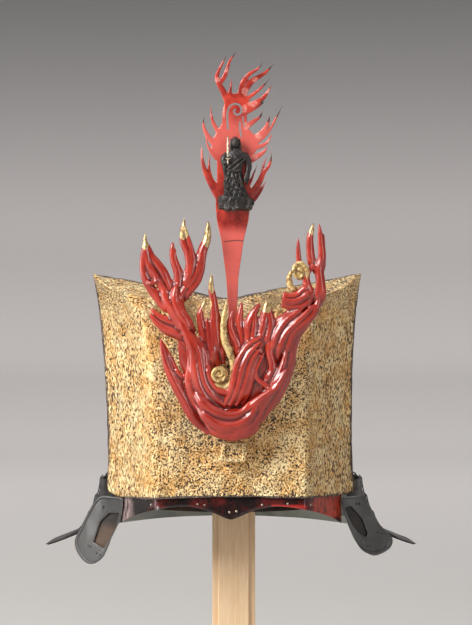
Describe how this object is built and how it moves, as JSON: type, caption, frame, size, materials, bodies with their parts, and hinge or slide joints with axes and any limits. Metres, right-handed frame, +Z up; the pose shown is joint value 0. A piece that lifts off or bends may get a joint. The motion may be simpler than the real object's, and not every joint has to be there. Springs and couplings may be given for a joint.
{
  "type": "kabuto samurai helmet on wooden stand",
  "caption": "Kabuto with a tall gilded hood, a carved red flame crest under a flat flame with a small standing figure, and a flaring black neck guard, on a wooden post.",
  "frame": {"origin": "centre of the foot's underside, on the floor", "axes": "+Z up, the face of the helmet towards -Y, the wearer's left towards +X"},
  "size_m": [0.4076, 0.352, 0.7092],
  "materials": {
    "stand_wood": "pale planed softwood, waxed",
    "iron_bowl": "russet forged iron",
    "gold_leaf": "gold leaf over coarse dark textured lacquer, worn at the edges",
    "worn_red_lacquer": "worn black and vermilion lacquer",
    "red_lacquer": "glossy vermilion lacquer with gilt tips",
    "black_lacquer": "satin black lacquer",
    "brown_leather": "aged brown leather",
    "dark_lace": "flat braided dark blue silk",
    "carved_black_wood": "carved wood, black lacquered",
    "pale_blade": "pale gilt blade",
    "pale_rivets": "small domed rivets, dulled"
  },
  "bodies": {
    "root": {"stand_base": "stand_wood", "stand_post": "stand_wood", "post_cap": "stand_wood", "bowl": "iron_bowl", "waist_ring": "iron_bowl", "gold_hood": "gold_leaf", "brow_plate": "worn_red_lacquer", "turnback_left": "black_lacquer", "turnback_right": "black_lacquer", "turnback_panel_left": "brown_leather", "turnback_panel_right": "brown_leather", "crest_socket": "gold_leaf", "flame_crest": "red_lacquer", "flame_halo": "red_lacquer", "figure": "carved_black_wood", "figure_sword": "pale_blade", "neck_lame_1": "black_lacquer", "neck_lame_2": "black_lacquer", "neck_lame_3": "black_lacquer", "neck_lame_4": "black_lacquer", "neck_lame_5": "black_lacquer", "lacing_1": "dark_lace", "lacing_2": "dark_lace", "lacing_3": "dark_lace", "lacing_4": "dark_lace", "lacing_5": "dark_lace", "lacing_6": "dark_lace", "lacing_7": "dark_lace", "lacing_8": "dark_lace", "lacing_9": "dark_lace", "lacing_10": "dark_lace", "lacing_11": "dark_lace"}
  },
  "joints": []
}
